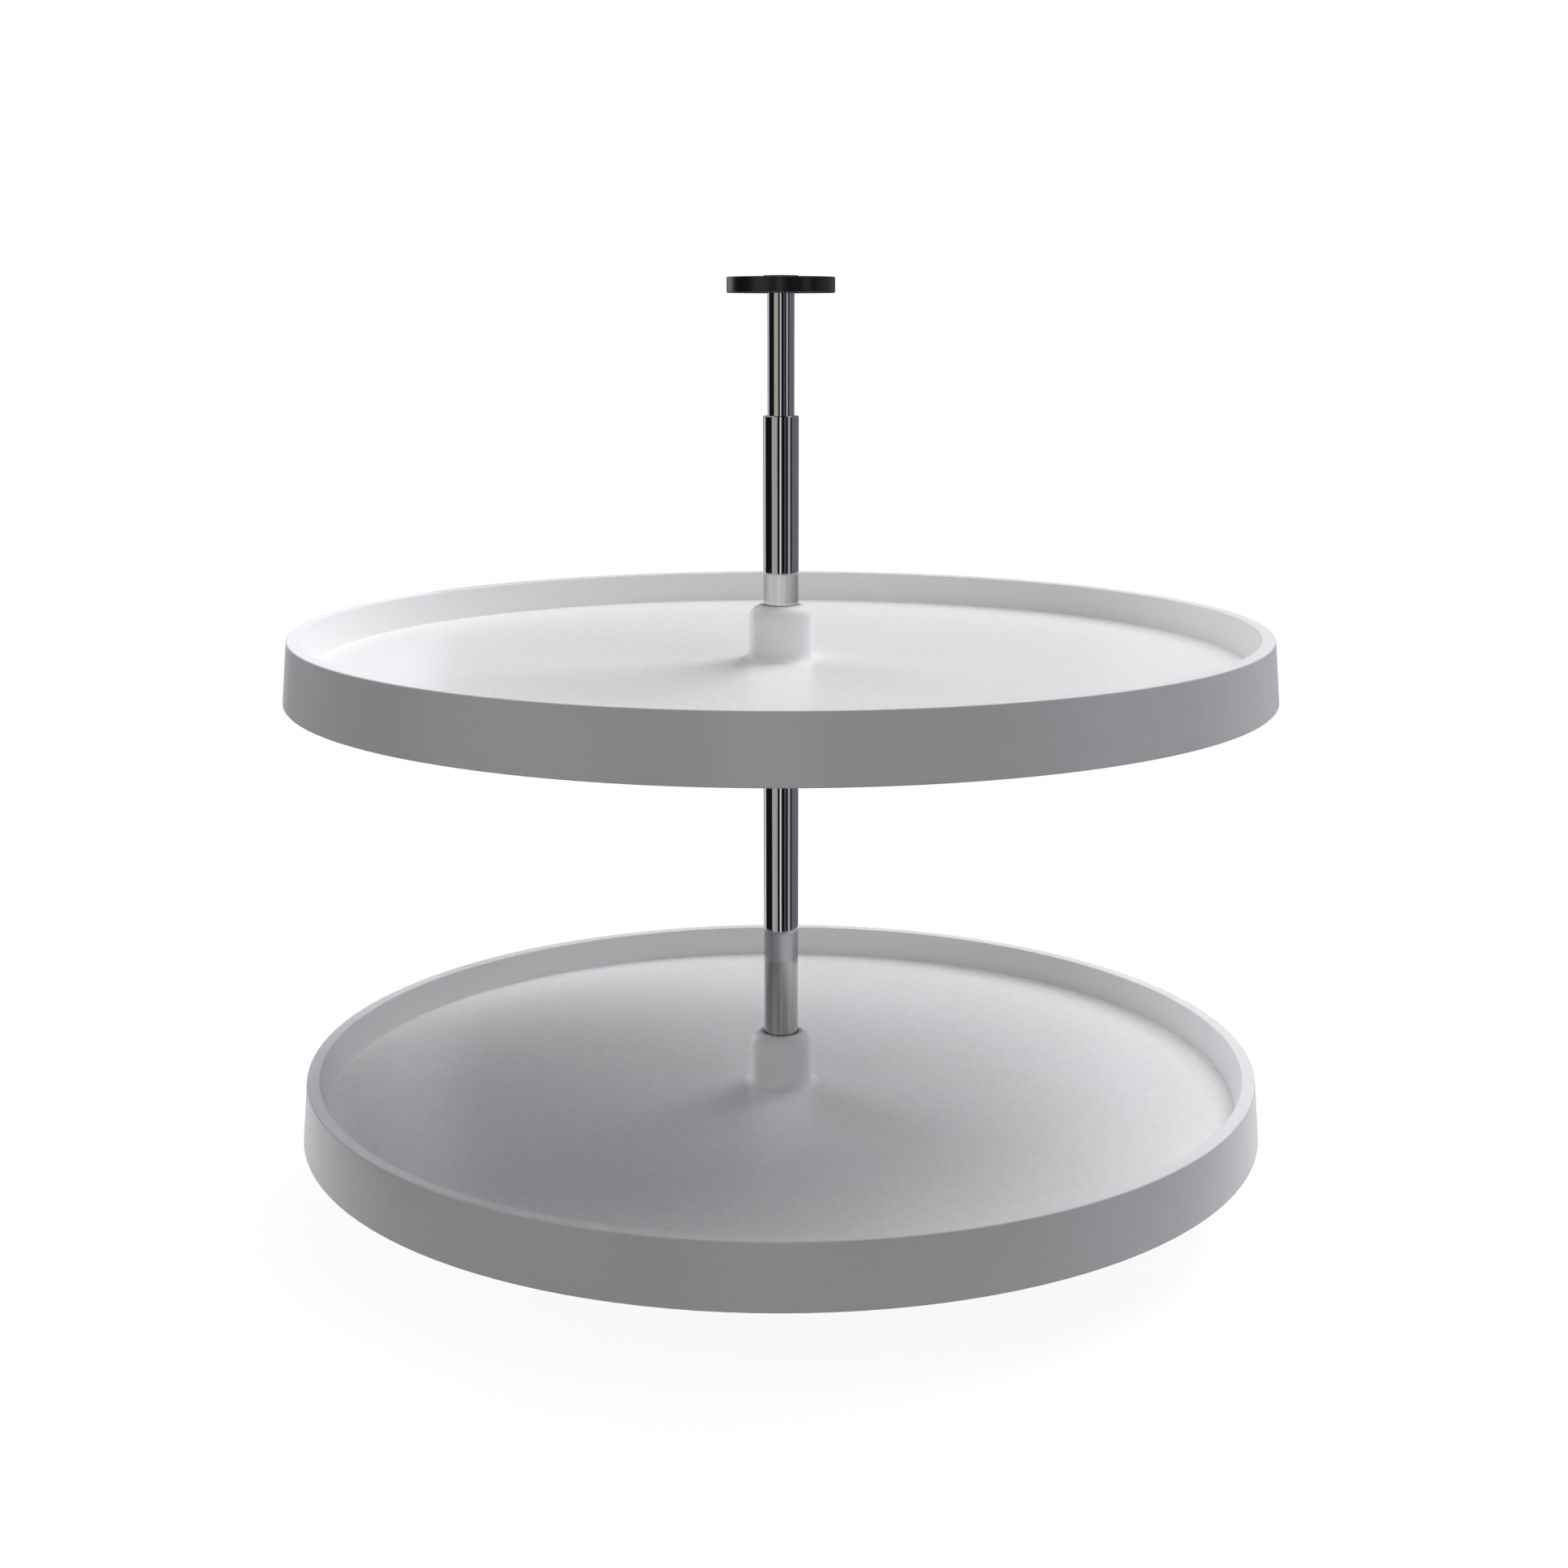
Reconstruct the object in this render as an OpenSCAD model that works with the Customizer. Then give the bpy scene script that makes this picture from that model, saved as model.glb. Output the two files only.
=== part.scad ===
// Two-shelf rotating fitting for a pantry or corner cabinet.
// Two moulded full-round trays turn on ball thrust bearings, each on its own collar.
// The collars are clamped at any height on a fixed tube. A smaller tube telescopes out
// of it, locks by a twist, and carries a swivelling disc that is screwed to the cabinet top.
// Origin: centre of the base's underside on the cabinet floor. +Z is up. Millimetres.

/* [Trays] */
// Diameter of a tray at the foot of its skirt
tray_d = 711.2; // [600:0.2:812]
// Height of the skirt, from its foot to the top of the rim
skirt_h = 44.6; // [41:0.1:60]
// How far the skirt leans in from its foot to the rim
skirt_lean = 4.2; // [2:0.1:8]
// Depth of the dish, from the top of the rim to its floor
dish_depth = 23.8; // [16:0.1:30]
// How far the inner wall leans in from the rim to the floor
dish_lean = 4.4; // [2:0.1:8]
// Width of the top of the rim
rim_w = 9.5; // [9:0.1:14]
// Wall thickness of the rim and skirt
wall_t = 3; // [2:0.1:3.4]
// Thickness of the floor
floor_t = 3.5; // [2.5:0.1:5]
// Rounding of the rim's two edges
rim_round = 1.1; // [0.6:0.1:2.8]
// Rounding of the skirt's foot
foot_round = 0.8; // [0.3:0.1:1.4]
// Fillet between the inner wall and the floor
floor_fillet = 1; // [0.5:0.1:8]

/* [Tray ribs] */
// Number of ribs that run from the hub to the skirt
rib_count = 16; // [8:4:24]
// Number of rings of ribs round the hub
ring_count = 4; // [3:1:6]
// Ring at which the short ribs between the long ones start
short_rib_ring = 3; // [2:1:3]
// Thickness of the ribs
rib_t = 2.2; // [1.6:0.1:3]
// How far the long ribs stop short of the skirt's foot
rib_lift = 2; // [1:0.1:6]
// How much shallower the rings of ribs are than the long ribs
ring_lift = 1.2; // [0.5:0.1:4]

/* [Tray hub] */
// Diameter of the hub where it meets the floor
hub_d = 46.4; // [45.6:0.1:54]
// How much the hub narrows towards its top
hub_taper = 0.4; // [0:0.1:1]
// Height of the hub above the floor
hub_h = 39; // [30:0.1:50]
// Rounding of the hub's shoulder
shoulder_r = 9.5; // [3:0.1:10]
// Least width of the level land between the shoulder and the flange
land_w = 0.3; // [0.1:0.1:1]
// Fillet between the hub and the floor
hub_fillet = 7.6; // [3:0.1:12]
// Thickness of the hub's outer wall
hub_wall = 3; // [2.2:0.1:3]
// Depth of the bearing's seat below the floor
seat_drop = 14.5; // [10:0.1:17]
// Thickness of the eight webs inside the hub
web_t = 2; // [1.4:0.1:2.6]

/* [Tray sleeve] */
// Wall of the nylon sleeve that turns on the tube
sleeve_wall = 2.2; // [1.4:0.1:2.4]
// Diameter of the sleeve's flange, seen round the tube
flange_d = 32.6; // [31.8:0.1:33]
// Thickness of the flange
flange_t = 2.4; // [1.6:0.1:4]
// How far the flange stands proud of the hub
flange_proud = 0.4; // [0.1:0.1:1]
// Lead-in chamfer of the sleeve's mouth
mouth_chamfer = 1; // [0.4:0.1:1.6]

/* [Thrust bearing] */
// Diameter of a ball
ball_d = 6; // [5:0.1:6.4]
// Number of balls in a bearing
ball_count = 12; // [8:1:16]
// Diameter of the circle on which the balls run
ball_pcd = 48; // [46:0.1:50]
// Thickness of each race plate
race_t = 2; // [1.6:0.1:3]
// Gap between the two race plates
race_gap = 4.4; // [3.6:0.1:4.6]
// Diameter of the upper race plate
race_d = 80; // [78:0.1:90]
// Thickness of the cage that spaces the balls
cage_t = 2.4; // [1.6:0.1:2.8]
// Width of the cage's ring
cage_w = 8.8; // [8:0.1:10]
// Diameter of the circle of the race plate's screws
race_screw_pcd = 70; // [68.5:0.1:70.5]
// Thread diameter of the race plate's screws
race_screw_d = 4; // [3:0.1:4.4]
// Length of those screws under their heads
race_screw_l = 9.5; // [7:0.1:10]

/* [Collars] */
// Diameter of a collar's body
collar_d = 44; // [38:0.1:50]
// Height of a collar
collar_h = 19; // [16:0.1:19.5]
// Thickness of the flange that carries the lower race plate
collar_flange_t = 5; // [3:0.1:6]
// Diameter of the lower race plate
collar_race_d = 60; // [58:0.1:62]
// Wall of the lip round the lower race plate
collar_lip_w = 1.5; // [1:0.1:2]
// Height of that lip
collar_lip_h = 0.9; // [0.4:0.1:1.4]
// Thread diameter of the set screws
set_screw_d = 6; // [4:0.1:8]
// Angle between a collar's two set screws
set_screw_angle = 120; // [60:5:180]

/* [Shelf heights] */
// Height of the lower tray's floor above the cabinet floor
lower_floor_z = 78.7; // [76:0.1:150]
// Height of the upper tray's floor above the lower tray's floor
tray_spacing = 323.7; // [280:0.1:400]

/* [Tubes] */
// Outside diameter of the main tube
main_tube_d = 25.4; // [25:0.05:25.6]
// Wall of the main tube
main_tube_wall = 1.2; // [0.9:0.05:1.4]
// Height of the main tube's top end above the cabinet floor
main_tube_top = 576.6; // [560:0.1:620]
// Outside diameter of the upper tube
upper_tube_d = 19.05; // [18:0.05:20]
// Wall of the upper tube
upper_tube_wall = 1.2; // [0.9:0.05:1.4]
// Length of the upper tube
upper_tube_l = 258.1; // [200:0.1:280]
// Length of the guide bush in the main tube's mouth
bush_l = 25; // [15:0.5:40]
// How far the guide bush lies below the tube's end
bush_inset = 0.6; // [0.2:0.1:3]

/* [Twist lock] */
// Length of the split collet
collet_l = 26; // [23:0.5:36]
// Length of the collet's solid top ring
collet_ring_l = 5; // [3:0.5:8]
// Radius of the collet's taper at its mouth
taper_mouth_r = 9.7; // [9.2:0.05:10]
// How much the taper's radius narrows for each millimetre of length
taper_slope = 0.18; // [0.1:0.01:0.2]
// Length of the lock cone
cone_l = 14; // [10:0.5:16]
// Diameter of the lock's stud
stud_d = 8; // [6:0.5:8]
// Width of the collet's four slots
slot_w = 2.4; // [2:0.1:3]
// Travel of the cone between locked and loose
cone_travel = 1.875; // [1:0.125:3]
// Thickness of the stop nut
nut_t = 5; // [3:0.5:7]
// Width of the stop nut across its flats
nut_af = 13; // [11:0.5:15]
// Length of the plug in the upper tube's foot
lock_plug_l = 22; // [15:0.5:30]

/* [Top disc] */
// Height of the disc's mounting face above the cabinet floor
fitting_h = 673.1; // [640:0.1:690]
// Diameter of the disc
disc_d = 76.4; // [70:0.1:90]
// Thickness of the disc
disc_t = 11; // [9:0.1:14]
// Rounding of the disc's edges
disc_round = 0.8; // [0.3:0.1:2]
// Depth of the socket for the upper tube in the disc's underside
disc_socket_depth = 2.5; // [2:0.1:3.5]
// Diameter of the circle of the disc's screw holes
disc_screw_pcd = 56; // [48:0.1:60]
// Diameter of the pivot pin
pivot_d = 8; // [6:0.1:10]
// Diameter of the pivot pin's head
pivot_head_d = 16; // [14:0.1:18]
// Thickness of the pivot pin's head
pivot_head_t = 2.4; // [1.6:0.1:3]
// Diameter of the raised cap over the pivot pin, at its foot
cap_d = 26.2; // [22:0.1:32]
// Height of the cap above the mounting face
cap_h = 1.05; // [0.6:0.05:2]

/* [Base] */
// Diameter of the base
base_d = 101.6; // [90:0.1:130]
// Thickness of the base
base_t = 8; // [7:0.1:12]
// Diameter of the tower that holds the main tube
tower_d = 38; // [34:0.1:46]
// Height of the tower's top above the cabinet floor
tower_h = 34; // [28:0.1:34]
// Height of the socket's floor above the cabinet floor
socket_floor = 6; // [4:0.1:8]
// Height of the spigot that centres the tube, above the socket's floor
spigot_h = 14; // [8:0.1:14]
// Diameter of the circle of the base's screw holes
base_screw_pcd = 80; // [74:0.1:84]
// Wall and rib thickness of the base's cored underside
base_wall = 3; // [2:0.1:4]

/* [Mounting screws] */
// Diameter of the holes for the mounting screws
mount_hole_d = 4.8; // [4:0.1:6]
// Diameter of their countersinks
countersink_d = 9.6; // [8:0.1:11]

/* [Fits] */
// Radial clearance of parts that turn or slide on each other
run_fit = 0.08; // [0.04:0.01:0.1]
// Radial clearance of parts that are pressed or screwed together
press_gap = 0.02; // [0.01:0.01:0.04]
// Clearance between parts that only face each other
free_gap = 0.3; // [0.1:0.05:0.5]
// Axial play of the swivelling and captive parts
thrust_gap = 0.1; // [0.05:0.01:0.2]
// Clearance between the balls and their grooves and pockets
ball_gap = 0.06; // [0.03:0.01:0.1]

/* [Hidden] */
$fn = 96;
arc_step = 12;
bite = 1;
past = 1;

// Levels of a tray, measured from the top of its floor
rim_z = dish_depth;
foot_z = dish_depth - skirt_h;
under_z = -floor_t;
rib_z = foot_z + rib_lift;
ring_rib_z = rib_z + ring_lift;
roof_z = rim_z - wall_t;
seat_z = -seat_drop;

// Radii of a tray's walls at a level
tray_r = tray_d / 2;
skirt_a = atan(skirt_lean / skirt_h);
dish_a = atan(dish_lean / dish_depth);
dish_floor_r = tray_r - skirt_lean - rim_w - dish_lean;
function skirt_r(z) = tray_r - (z - foot_z) * tan(skirt_a);
function skirt_in_r(z) = skirt_r(z) - wall_t / cos(skirt_a);
function dish_r(z) = dish_floor_r + z * tan(dish_a);
function dish_back_r(z) = dish_r(z) + wall_t / cos(dish_a);

// Hub, sleeve and shaft
main_r = main_tube_d / 2;
main_bore_r = main_r - main_tube_wall;
sleeve_bore_r = main_r + run_fit;
sleeve_r = sleeve_bore_r + sleeve_wall;
hub_bore_r = sleeve_r + press_gap;
hub_r = hub_d / 2;
hub_top_r = hub_r - hub_taper / 2;
core_in_r = hub_bore_r + hub_wall * 0.8;
core_out_r = hub_top_r - hub_wall;
core_roof_z = hub_h - flange_t - hub_wall;
core_chamfer = (core_out_r - core_in_r) * 0.4;
counterbore_z = hub_h + flange_proud - flange_t;
counterbore_r = flange_d / 2 + press_gap;

// Centre of the shoulder's arc, and its turn from the hub's side up to the level land
shoulder_centre_r = hub_top_r - shoulder_r;
shoulder_turn = acos(max(0, counterbore_r + land_w - shoulder_centre_r) / shoulder_r);
shoulder_centre_z = hub_h - shoulder_r * sin(shoulder_turn);

// Bearing stack, down from the seat under the tray
race_r = race_d / 2;
ring_in_r = race_r + free_gap;
ring_out_r = ring_in_r + wall_t;
ring_z = seat_z - race_t;
seat_in_r = ring_in_r - 2.5;
ball_z = seat_z - race_t - race_gap / 2;
collar_race_z = ball_z - race_gap / 2 - race_t;
collar_foot_z = collar_race_z - collar_h;
race_bore_r = main_r + 0.8;
ring_pitch = (skirt_in_r(rib_z) - ring_out_r) / (ring_count + 1);

// Shelf heights
upper_floor_z = lower_floor_z + tray_spacing;

// Upper tube, disc and pivot
upper_r = upper_tube_d / 2;
upper_bore_r = upper_r - upper_tube_wall;
disc_under_z = fitting_h - disc_t;
disc_socket_z = disc_under_z + disc_socket_depth;
top_plug_flange_t = 1.4;
upper_top_z = disc_socket_z - thrust_gap - top_plug_flange_t;
upper_foot_z = upper_top_z - upper_tube_l;
head_pocket_depth = pivot_head_t + 0.8;
head_pocket_r = pivot_head_d / 2 + 1;
pivot_thread_r = pivot_d / 2 - 1;
pivot_thread_l = 14;
top_plug_l = pivot_thread_l + 4;

// Twist lock, down from the foot of the upper tube
lock_flange_t = 3;
collet_top_z = upper_foot_z - lock_flange_t - thrust_gap;
collet_foot_z = collet_top_z - collet_l;
collet_r = main_bore_r - run_fit;
cone_foot_z = collet_foot_z + 1.5;
stud_r = stud_d / 2;
nut_top_z = cone_foot_z - cone_travel - 2 * thrust_gap;
stud_foot_z = nut_top_z - nut_t - 1.5;
stud_top_z = upper_foot_z + lock_plug_l - 4;
slot_top_z = collet_top_z - collet_ring_l - 1;
key_w = slot_w - 0.4;
function taper_r(z) = taper_mouth_r - (z - collet_foot_z) * taper_slope;

// Set screws stand this far above the foot of the collar or below the top of the tower
set_screw_r = set_screw_d / 2;
set_screw_inset = 8;

// Points of an arc of radius r round [x, z], from one angle to another
function arc(x, z, r, from, to) =
    let (n = max(2, ceil(abs(to - from) / arc_step)))
    [for (i = [0:n]) let (a = from + (to - from) * i / n) [x + r * cos(a), z + r * sin(a)]];

// Radius of each ring rib
function ring_r(k) = ring_out_r + k * ring_pitch;

module at_height(z) {
    translate([0, 0, z]) children();
}

module round_pattern(count, start = 0) {
    for (i = [0:count - 1]) rotate(start + i * 360 / count) children();
}

// A flat web of thickness t that stands on the XZ plane, its outline given as [radius, height]
module upright(t, outline) {
    rotate([90, 0, 0]) linear_extrude(t, center = true) polygon(outline);
}

module ring(r_out, r_in, z_low, z_high) {
    difference() {
        at_height(z_low) cylinder(r = r_out, h = z_high - z_low);
        at_height(z_low - past) cylinder(r = r_in, h = z_high - z_low + 2 * past);
    }
}

// ---- Trays ----

// Half section of the moulding: skirt, hollow rim, dish, hub, cored hub socket and ring ribs
function tray_section() = concat(
    arc(skirt_r(foot_z + foot_round) - foot_round / cos(skirt_a), foot_z + foot_round,
        foot_round, -90, skirt_a),
    arc(skirt_r(rim_z - rim_round) - rim_round / cos(skirt_a), rim_z - rim_round,
        rim_round, skirt_a, 90),
    arc(dish_r(rim_z - rim_round) + rim_round / cos(dish_a), rim_z - rim_round,
        rim_round, 90, 180 - dish_a),
    arc(dish_r(floor_fillet) - floor_fillet / cos(dish_a), floor_fillet,
        floor_fillet, -dish_a, -90),
    arc(hub_r + hub_fillet, hub_fillet, hub_fillet, -90, -180),
    arc(shoulder_centre_r, shoulder_centre_z, shoulder_r, 0, shoulder_turn),
    [
        [counterbore_r, hub_h],
        [counterbore_r, counterbore_z],
        [hub_bore_r, counterbore_z],
        [hub_bore_r, seat_z],
        [core_in_r, seat_z],
        [core_in_r, core_roof_z],
        [core_out_r - core_chamfer, core_roof_z],
        [core_out_r, core_roof_z - core_chamfer],
        [core_out_r, under_z],
        [seat_in_r, under_z],
        [seat_in_r, seat_z],
        [ring_in_r, seat_z],
        [ring_in_r, ring_z],
        [ring_out_r, ring_z],
        [ring_out_r, under_z]
    ],
    [for (k = [1:ring_count]) each [
        [ring_r(k) - rib_t / 2, under_z],
        [ring_r(k) - rib_t / 2, ring_rib_z],
        [ring_r(k) + rib_t / 2, ring_rib_z],
        [ring_r(k) + rib_t / 2, under_z]
    ]],
    [
        [dish_back_r(under_z), under_z],
        [dish_back_r(roof_z), roof_z],
        [skirt_in_r(roof_z), roof_z],
        [skirt_in_r(foot_z), foot_z]
    ]
);

// A rib under the floor to the skirt, running up into the hollow rim. It starts at radius r in
// the middle of a ring whose foot is at start_z, and slopes down to its full depth
module rib(r, start_z) {
    slope_l = 8;
    upright(rib_t, [
        [r, under_z + bite],
        [r, start_z + bite],
        [r + slope_l, rib_z],
        [skirt_in_r(rib_z) + bite, rib_z],
        [skirt_in_r(roof_z) + bite, roof_z + bite],
        [dish_back_r(roof_z) - bite, roof_z + bite],
        [dish_back_r(under_z) - bite, under_z + bite]
    ]);
}

// A web between the hub's inner tube and the seat, running up inside the hub
module hub_web() {
    upright(web_t, [
        [core_in_r - bite, seat_z],
        [seat_in_r + bite, seat_z],
        [seat_in_r + bite, under_z + bite],
        [core_out_r + bite, under_z + bite],
        [core_out_r + bite, core_roof_z + bite],
        [core_in_r - bite, core_roof_z + bite]
    ]);
}

module tray() {
    boss_r = race_screw_d / 2 + 2.5;
    pilot_depth = race_screw_l - race_t + 1;
    color("whitesmoke") difference() {
        union() {
            rotate_extrude() polygon(tray_section());
            round_pattern(rib_count) rib((ring_in_r + ring_out_r) / 2, ring_z);
            round_pattern(rib_count, 180 / rib_count) rib(ring_r(short_rib_ring), ring_rib_z);
            round_pattern(8) hub_web();
            round_pattern(4) translate([race_screw_pcd / 2, 0, seat_z])
                cylinder(r = boss_r, h = under_z - seat_z + bite);
        }
        round_pattern(4) translate([race_screw_pcd / 2, 0, seat_z - past])
            cylinder(r = race_screw_d / 2 + press_gap, h = pilot_depth + past);
    }
}

module tray_sleeve() {
    sleeve_top_z = hub_h + flange_proud;
    sleeve_foot_z = seat_z + 0.5;
    color("gainsboro") rotate_extrude() polygon([
        [sleeve_bore_r, sleeve_foot_z],
        [sleeve_r - 0.4, sleeve_foot_z],
        [sleeve_r, sleeve_foot_z + 0.8],
        [sleeve_r, counterbore_z],
        [flange_d / 2, counterbore_z],
        [flange_d / 2, sleeve_top_z - 0.3],
        [flange_d / 2 - 0.3, sleeve_top_z],
        [sleeve_bore_r + mouth_chamfer, sleeve_top_z],
        [sleeve_bore_r, sleeve_top_z - mouth_chamfer]
    ]);
}

// ---- Thrust bearing ----

// The groove that the balls run in
module ball_track() {
    rotate_extrude() translate([ball_pcd / 2, ball_z]) circle(r = ball_d / 2 + ball_gap);
}

module tray_race() {
    color("silver") difference() {
        ring(race_r, race_bore_r, seat_z - race_t, seat_z);
        ball_track();
        round_pattern(4) translate([race_screw_pcd / 2, 0, seat_z - race_t - past])
            cylinder(r = race_screw_d / 2 + free_gap, h = race_t + 2 * past);
    }
}

// Pan-head screws that hold the upper race plate to the hub
module race_screws() {
    head_r = race_screw_d * 0.9;
    head_h = race_screw_d * 0.6;
    head_z = seat_z - race_t;
    dome = race_screw_d * 0.2;
    color("lightgrey") round_pattern(4) translate([race_screw_pcd / 2, 0, head_z]) difference() {
        rotate_extrude() polygon([
            [0, race_screw_l],
            [race_screw_d / 2 - 0.6, race_screw_l],
            [race_screw_d / 2, race_screw_l - 1.2],
            [race_screw_d / 2, 0],
            [head_r, 0],
            [head_r, -head_h + dome],
            [head_r - dome, -head_h],
            [0, -head_h]
        ]);
        for (a = [45, 135]) rotate(a) translate([0, 0, -head_h])
            cube([head_r, head_r * 0.22, head_h], center = true);
    }
}

module ball_cage() {
    color("ivory") difference() {
        ring(ball_pcd / 2 + cage_w / 2, ball_pcd / 2 - cage_w / 2, ball_z - cage_t / 2, ball_z + cage_t / 2);
        round_pattern(ball_count) translate([ball_pcd / 2, 0, ball_z])
            cylinder(r = ball_d / 2 + ball_gap, h = cage_t + 2 * past, center = true);
    }
}

module bearing_balls() {
    color("lightsteelblue") round_pattern(ball_count) translate([ball_pcd / 2, 0, ball_z])
        sphere(r = ball_d / 2);
}

module collar_race() {
    color("silver") difference() {
        ring(collar_race_d / 2, race_bore_r, collar_race_z, collar_race_z + race_t);
        ball_track();
    }
}

// ---- Collars ----

// A headless screw along +X, its cup point at radius r, with a hex socket in its outer end
module set_screw(r, length) {
    hex_r = set_screw_r * 0.58;
    color("dimgrey") translate([r, 0, 0]) rotate([0, 90, 0]) difference() {
        cylinder(r = set_screw_r, h = length);
        at_height(length - set_screw_r) cylinder(r = hex_r, h = set_screw_r + past, $fn = 6);
        at_height(-past) cylinder(r = set_screw_r * 0.4, h = past + 0.4);
    }
}

module collar() {
    flange_r = collar_race_d / 2 + free_gap + collar_lip_w;
    body_r = collar_d / 2;
    blend = 2;
    color("lightslategrey") difference() {
        rotate_extrude() polygon(concat(
            [
                [main_r + run_fit, collar_race_z],
                [main_r + run_fit, collar_foot_z],
                [body_r - 1, collar_foot_z],
                [body_r, collar_foot_z + 1]
            ],
            arc(body_r + blend, collar_race_z - collar_flange_t - blend, blend, 180, 90),
            [
                [flange_r - 0.8, collar_race_z - collar_flange_t],
                [flange_r, collar_race_z - collar_flange_t + 0.8],
                [flange_r, collar_race_z + collar_lip_h],
                [flange_r - collar_lip_w, collar_race_z + collar_lip_h],
                [flange_r - collar_lip_w, collar_race_z]
            ]
        ));
        for (a = [0, set_screw_angle]) rotate(a - 90)
            translate([0, 0, collar_foot_z + set_screw_inset]) rotate([0, 90, 0])
                cylinder(r = set_screw_r + press_gap, h = collar_d);
    }
}

module collar_screws() {
    for (a = [0, set_screw_angle]) rotate(a - 90)
        at_height(collar_foot_z + set_screw_inset)
            set_screw(main_r + run_fit, collar_d / 2 - main_r - 0.6);
}

// ---- Base and main tube ----

module base_flange() {
    base_r = base_d / 2;
    tower_r = tower_d / 2;
    core_out = base_r - base_wall * 2;
    core_in = tower_r + 1;
    core_top = base_t - base_wall - 0.5;
    edge = 1.5;
    blend = 4;
    color([0.1, 0.1, 0.11]) difference() {
        union() {
            rotate_extrude() polygon(concat(
                [
                    [0, 0],
                    [core_in, 0],
                    [core_in, core_top],
                    [core_out, core_top],
                    [core_out, 0],
                    [base_r, 0]
                ],
                arc(base_r - edge, base_t - edge, edge, 0, 90),
                arc(tower_r + blend, base_t + blend, blend, -90, -180),
                [
                    [tower_r, tower_h - 1],
                    [tower_r - 1, tower_h],
                    [main_r + press_gap + 0.6, tower_h],
                    [main_r + press_gap, tower_h - 0.6],
                    [main_r + press_gap, socket_floor],
                    [main_bore_r - press_gap, socket_floor],
                    [main_bore_r - press_gap, socket_floor + spigot_h - 1.5],
                    [main_bore_r - press_gap - 1.5, socket_floor + spigot_h],
                    [0, socket_floor + spigot_h]
                ]
            ));
            round_pattern(8, 22.5) upright(base_wall, [
                [core_in - bite, 0],
                [core_out + bite, 0],
                [core_out + bite, core_top + bite],
                [core_in - bite, core_top + bite]
            ]);
            round_pattern(4) translate([base_screw_pcd / 2, 0, 0])
                cylinder(r = countersink_d / 2 + 1.6, h = core_top + bite);
        }
        round_pattern(4) translate([base_screw_pcd / 2, 0, 0]) screw_hole(base_t);
        translate([0, 0, tower_h - set_screw_inset]) rotate([0, 90, -90])
            cylinder(r = set_screw_r + press_gap, h = tower_d);
    }
}

// A countersunk hole up through a plate that lies from z = 0 to z = t, its head side on top
module screw_hole(t) {
    sink = (countersink_d - mount_hole_d) / 2;
    at_height(-past) cylinder(d = mount_hole_d, h = t + 2 * past);
    at_height(t - sink) cylinder(d1 = mount_hole_d, d2 = countersink_d, h = sink);
    at_height(t) cylinder(d = countersink_d, h = past);
}

module base_screw() {
    rotate(-90) at_height(tower_h - set_screw_inset)
        set_screw(main_r + press_gap, tower_d / 2 - main_r - 0.6);
}

// A plain tube with its edges broken
module tube(r_out, r_in, z_low, z_high) {
    edge = 0.35;
    rotate_extrude() polygon([
        [r_in, z_low],
        [r_out - edge, z_low],
        [r_out, z_low + edge],
        [r_out, z_high - edge],
        [r_out - edge, z_high],
        [r_in + edge, z_high],
        [r_in, z_high - edge]
    ]);
}

module main_tube() {
    color([0.78, 0.79, 0.8]) tube(main_r, main_bore_r, socket_floor, main_tube_top);
}

module guide_bush() {
    top_z = main_tube_top - bush_inset;
    lead = 0.8;
    color([0.12, 0.12, 0.13]) rotate_extrude() polygon([
        [upper_r + run_fit + lead, top_z - bush_l],
        [main_bore_r - press_gap, top_z - bush_l],
        [main_bore_r - press_gap, top_z],
        [upper_r + run_fit + lead, top_z],
        [upper_r + run_fit, top_z - lead],
        [upper_r + run_fit, top_z - bush_l + lead]
    ]);
}

// ---- Upper tube and twist lock ----

module upper_tube() {
    color([0.8, 0.81, 0.82]) tube(upper_r, upper_bore_r, upper_foot_z, upper_top_z);
}

module lock_plug() {
    color([0.14, 0.14, 0.15]) difference() {
        union() {
            at_height(upper_foot_z) cylinder(r = upper_bore_r - press_gap, h = lock_plug_l);
            at_height(upper_foot_z - lock_flange_t) cylinder(r = upper_r - press_gap, h = lock_flange_t);
        }
        at_height(upper_foot_z - lock_flange_t - past)
            cylinder(r = stud_r + press_gap, h = stud_top_z - upper_foot_z + lock_flange_t + past + thrust_gap);
    }
}

module lock_stud() {
    edge = 0.8;
    color("silver") rotate_extrude() polygon([
        [0, stud_foot_z],
        [stud_r - edge, stud_foot_z],
        [stud_r, stud_foot_z + edge],
        [stud_r, stud_top_z - edge],
        [stud_r - edge, stud_top_z],
        [0, stud_top_z]
    ]);
}

module stop_nut() {
    corner_r = nut_af / 2 / cos(30);
    color("lightgrey") difference() {
        at_height(nut_top_z - nut_t) cylinder(r = corner_r, h = nut_t, $fn = 6);
        at_height(nut_top_z - nut_t - past) cylinder(r = stud_r + press_gap, h = nut_t + 2 * past);
    }
}

// Split nylon sleeve that the cone spreads against the main tube
module lock_collet() {
    ring_foot_z = collet_top_z - collet_ring_l;
    neck_r = stud_r + run_fit;
    color("ivory") difference() {
        at_height(collet_foot_z) cylinder(r = collet_r, h = collet_l);
        rotate_extrude() polygon([
            [0, collet_foot_z - past],
            [taper_r(collet_foot_z - past), collet_foot_z - past],
            [taper_r(ring_foot_z), ring_foot_z],
            [neck_r, ring_foot_z],
            [neck_r, collet_top_z + past],
            [0, collet_top_z + past]
        ]);
        for (a = [0, 90]) rotate(a) translate([-main_tube_d, -slot_w / 2, collet_foot_z - past])
            cube([2 * main_tube_d, slot_w, slot_top_z - collet_foot_z + past]);
    }
}

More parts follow.
